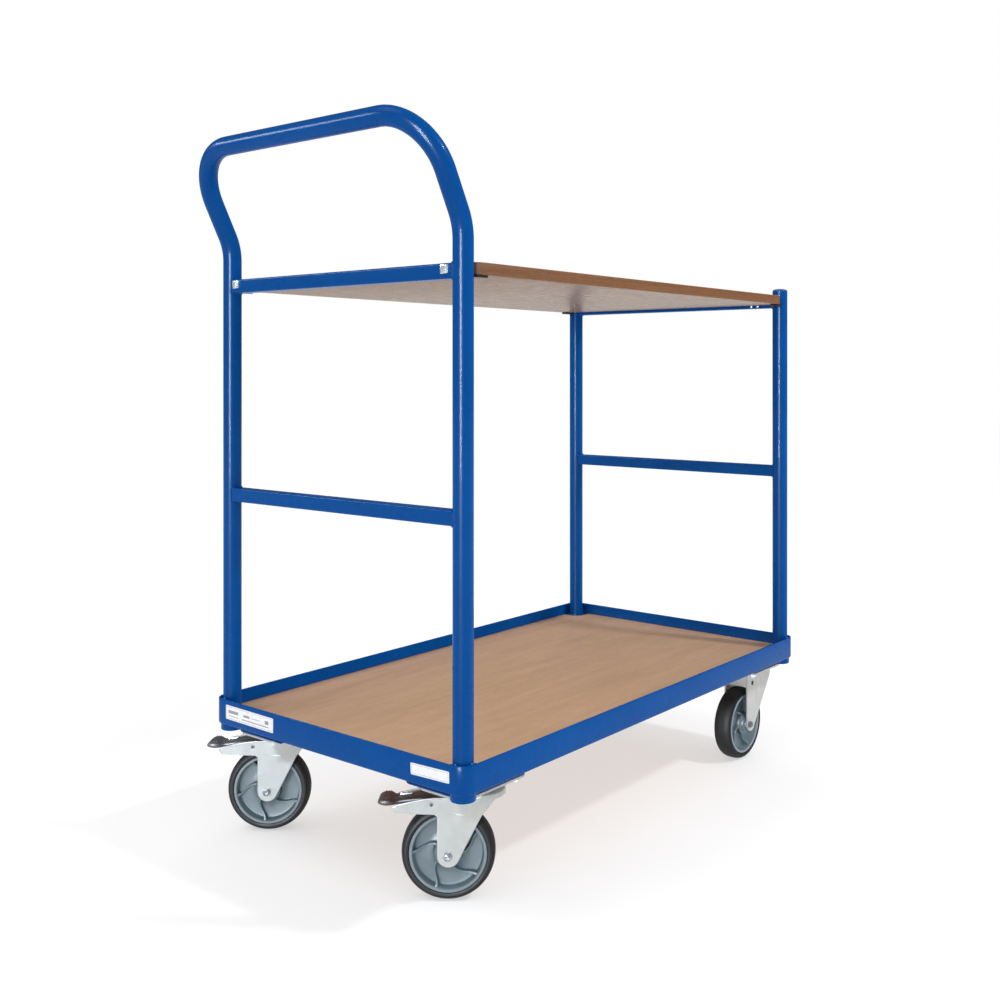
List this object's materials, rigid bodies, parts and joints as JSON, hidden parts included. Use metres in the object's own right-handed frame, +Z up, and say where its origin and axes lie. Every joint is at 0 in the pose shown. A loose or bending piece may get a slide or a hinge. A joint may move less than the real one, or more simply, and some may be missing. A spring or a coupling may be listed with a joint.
{
  "type": "platform trolley",
  "caption": "Two-deck platform trolley with a leaning tube push handle, board decks in a steel frame, braked swivel castors at the handle end and fixed castors in front.",
  "frame": {"origin": "on the floor, below the middle of the outline with the castors in their rest pose", "axes": "+X forwards, away from the push handle; +Y to the left of someone pushing; +Z up"},
  "size_m": [0.9689, 0.5568, 1.0313],
  "materials": {
    "blue_paint": "glossy powder coat",
    "beech_board": "satin beech decor board",
    "zinc_plate": "satin zinc-plated pressed steel",
    "bright_fastener": "bright zinc-plated fastener",
    "hub_plastic": "moulded grey polypropylene",
    "tyre_rubber": "matt near-black rubber",
    "pedal_plastic": "dark grey moulded pedal",
    "cap_plastic": "blue plug"
  },
  "bodies": {
    "trolley_frame": {"deck_frame": "blue_paint", "deck_board": "beech_board", "castor_channel_handle_left": "blue_paint", "castor_channel_handle_right": "blue_paint", "castor_channel_front_left": "blue_paint", "castor_channel_front_right": "blue_paint", "corner_socket_handle_left": "blue_paint", "corner_socket_handle_right": "blue_paint", "corner_socket_front_left": "blue_paint", "corner_socket_front_right": "blue_paint", "push_handle": "blue_paint", "front_post_left": "blue_paint", "front_post_right": "blue_paint", "post_cap_left": "cap_plastic", "post_cap_right": "cap_plastic", "handle_mid_rail": "blue_paint", "handle_shelf_rail": "blue_paint", "front_mid_rail": "blue_paint", "front_shelf_rail": "blue_paint", "shelf_board": "beech_board", "shelf_lug_handle_left": "blue_paint", "shelf_lug_handle_right": "blue_paint", "shelf_lug_front_left": "blue_paint", "shelf_lug_front_right": "blue_paint", "castor_plate_handle_left": "zinc_plate", "castor_plate_handle_right": "zinc_plate", "castor_plate_front_left": "zinc_plate", "castor_plate_front_right": "zinc_plate", "kingpin_handle_left": "bright_fastener", "kingpin_handle_right": "bright_fastener", "fixed_fork_front_left": "zinc_plate", "axle_bolt_front_left": "bright_fastener", "axle_nut_front_left": "bright_fastener", "wheel_sleeve_front_left": "zinc_plate", "fixed_fork_front_right": "zinc_plate", "axle_bolt_front_right": "bright_fastener", "axle_nut_front_right": "bright_fastener", "wheel_sleeve_front_right": "zinc_plate"},
    "wheel_handle_left": {"wheel_hub_handle_left": "hub_plastic", "tyre_handle_left": "tyre_rubber"},
    "swivel_castor_handle_left": {"swivel_fork_handle_left": "zinc_plate", "swivel_race_handle_left": "zinc_plate", "axle_bolt_handle_left": "bright_fastener", "axle_nut_handle_left": "bright_fastener", "wheel_sleeve_handle_left": "zinc_plate", "pedal_pin_handle_left": "bright_fastener"},
    "brake_pedal_handle_left": {"brake_pedal_handle_left": "pedal_plastic"},
    "wheel_handle_right": {"wheel_hub_handle_right": "hub_plastic", "tyre_handle_right": "tyre_rubber"},
    "swivel_castor_handle_right": {"swivel_fork_handle_right": "zinc_plate", "swivel_race_handle_right": "zinc_plate", "axle_bolt_handle_right": "bright_fastener", "axle_nut_handle_right": "bright_fastener", "wheel_sleeve_handle_right": "zinc_plate", "pedal_pin_handle_right": "bright_fastener"},
    "brake_pedal_handle_right": {"brake_pedal_handle_right": "pedal_plastic"},
    "wheel_front_left": {"wheel_hub_front_left": "hub_plastic", "tyre_front_left": "tyre_rubber"},
    "wheel_front_right": {"wheel_hub_front_right": "hub_plastic", "tyre_front_right": "tyre_rubber"}
  },
  "joints": [
    {"name": "swivel_handle_left", "type": "hinge", "parent": "trolley_frame", "child": "swivel_castor_handle_left", "pos_m": [-0.31861, 0.16172, 0.15], "axis": [0, 0, 1], "continuous": true},
    {"name": "wheel_spin_handle_left", "type": "hinge", "parent": "swivel_castor_handle_left", "child": "wheel_handle_left", "pos_m": [-0.34395, 0.1937, 0.0625], "axis": [-0.7837, -0.6211, 0], "continuous": true},
    {"name": "brake_handle_left", "type": "hinge", "parent": "swivel_castor_handle_left", "child": "brake_pedal_handle_left", "pos_m": [-0.357, 0.21015, 0.13], "axis": [-0.7837, -0.6211, 0], "range_deg": [0, 14]},
    {"name": "swivel_handle_right", "type": "hinge", "parent": "trolley_frame", "child": "swivel_castor_handle_right", "pos_m": [-0.31861, -0.21148, 0.15], "axis": [0, 0, 1], "continuous": true},
    {"name": "wheel_spin_handle_right", "type": "hinge", "parent": "swivel_castor_handle_right", "child": "wheel_handle_right", "pos_m": [-0.34395, -0.1795, 0.0625], "axis": [-0.7837, -0.6211, 0], "continuous": true},
    {"name": "brake_handle_right", "type": "hinge", "parent": "swivel_castor_handle_right", "child": "brake_pedal_handle_right", "pos_m": [-0.357, -0.16305, 0.13], "axis": [-0.7837, -0.6211, 0], "range_deg": [0, 14]},
    {"name": "wheel_spin_front_left", "type": "hinge", "parent": "trolley_frame", "child": "wheel_front_left", "pos_m": [0.39019, 0.16172, 0.0625], "axis": [0, 1, 0], "continuous": true},
    {"name": "wheel_spin_front_right", "type": "hinge", "parent": "trolley_frame", "child": "wheel_front_right", "pos_m": [0.39019, -0.21148, 0.0625], "axis": [0, 1, 0], "continuous": true}
  ]
}
